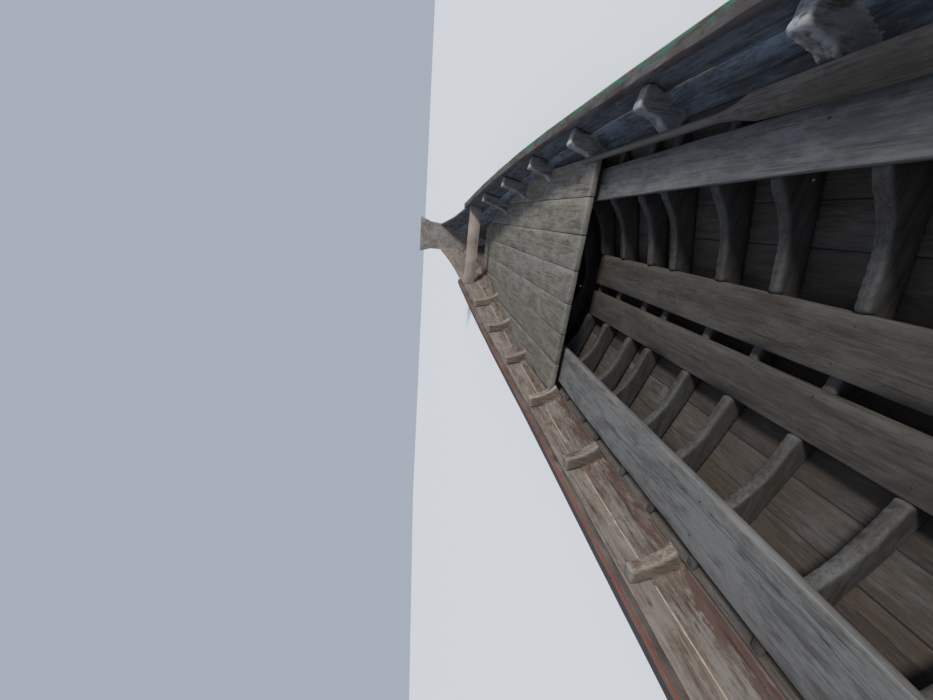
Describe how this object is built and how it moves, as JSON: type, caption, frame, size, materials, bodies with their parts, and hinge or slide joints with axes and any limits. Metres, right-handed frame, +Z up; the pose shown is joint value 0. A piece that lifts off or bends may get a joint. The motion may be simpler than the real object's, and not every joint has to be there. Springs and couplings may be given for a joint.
{
  "type": "longtail boat",
  "caption": "Long narrow planked lake boat with side seats, foredeck, flat prow board and a tilting, steering engine whose long tube carries the propeller.",
  "frame": {"origin": "on the waterline, on the centre line, half way along the hull", "axes": "+X forward to the prow, +Y to port, +Z up"},
  "size_m": [14.3386, 1.9506, 1.7492],
  "materials": {
    "hull_planking": "weathered brown boards, oil darkened",
    "dark_timber": "dark oiled hardwood",
    "gunwale_timber": "near black oiled hardwood, red inner edge",
    "bare_wood": "grey brown bare boards, worn",
    "seat_wood": "grey weathered planks with worn white film",
    "deck_wood": "grey brown weathered deck boards",
    "prow_wood": "pale weathered board",
    "paddle_wood": "brown worn hardwood",
    "steel": "dark painted steel, worn",
    "engine_paint": "worn green machine paint",
    "black_steel": "black heat proof paint",
    "tank_paint": "red paint",
    "bronze": "cast bronze"
  },
  "bodies": {
    "hull": {"garboard_port": "hull_planking", "bilge_plank_port": "hull_planking", "lower_side_plank_port": "hull_planking", "upper_side_plank_port": "hull_planking", "top_strake_port": "hull_planking", "gunwale_rail_port": "gunwale_timber", "side_seat_port": "seat_wood", "floor_board_port": "bare_wood", "garboard_starboard": "hull_planking", "bilge_plank_starboard": "hull_planking", "lower_side_plank_starboard": "hull_planking", "upper_side_plank_starboard": "hull_planking", "top_strake_starboard": "hull_planking", "gunwale_rail_starboard": "gunwale_timber", "side_seat_starboard": "seat_wood", "floor_board_starboard": "bare_wood", "keel_and_floor_frames_aft": "dark_timber", "keel_and_floor_frames_middle": "dark_timber", "keel_and_floor_frames_fore": "dark_timber", "prow_board": "prow_wood", "transom": "hull_planking", "foredeck_board_1": "deck_wood", "foredeck_board_2": "deck_wood", "foredeck_board_3": "deck_wood", "foredeck_board_4": "deck_wood", "foredeck_board_5": "deck_wood", "foredeck_board_6": "deck_wood", "foredeck_board_7": "deck_wood", "deck_beam_1": "dark_timber", "deck_beam_2": "dark_timber", "deck_beam_3": "dark_timber", "deck_beam_4": "dark_timber", "bow_cross_board": "prow_wood", "stern_deck_board_1": "deck_wood", "stern_deck_board_2": "deck_wood", "stern_deck_board_3": "deck_wood", "stern_deck_board_4": "deck_wood", "stern_beam": "dark_timber", "paddle": "paddle_wood", "swivel_post": "steel"},
    "turret": {"swivel_fork": "steel"},
    "drive": {"engine_cradle": "steel", "engine_block": "engine_paint", "cylinder_head": "black_steel", "flywheel_cover": "engine_paint", "air_cleaner": "black_steel", "exhaust": "black_steel", "fuel_tank": "tank_paint", "tiller": "steel", "shaft_tube": "steel", "propeller_fin": "steel"},
    "propeller": {"propeller": "bronze"}
  },
  "joints": [
    {"name": "steering", "type": "hinge", "parent": "hull", "child": "turret", "pos_m": [-5.34, 0, 0.752], "axis": [0, 0, 1], "range_deg": [-40, 40]},
    {"name": "drive_tilt", "type": "hinge", "parent": "turret", "child": "drive", "pos_m": [-5.34, 0, 0.752], "axis": [0, 1, 0], "range_deg": [0, 28]},
    {"name": "propeller_spin", "type": "hinge", "parent": "drive", "child": "propeller", "pos_m": [-5.38558, 0, 0.88437], "axis": [0.9455, 0, 0.3256], "continuous": true}
  ]
}
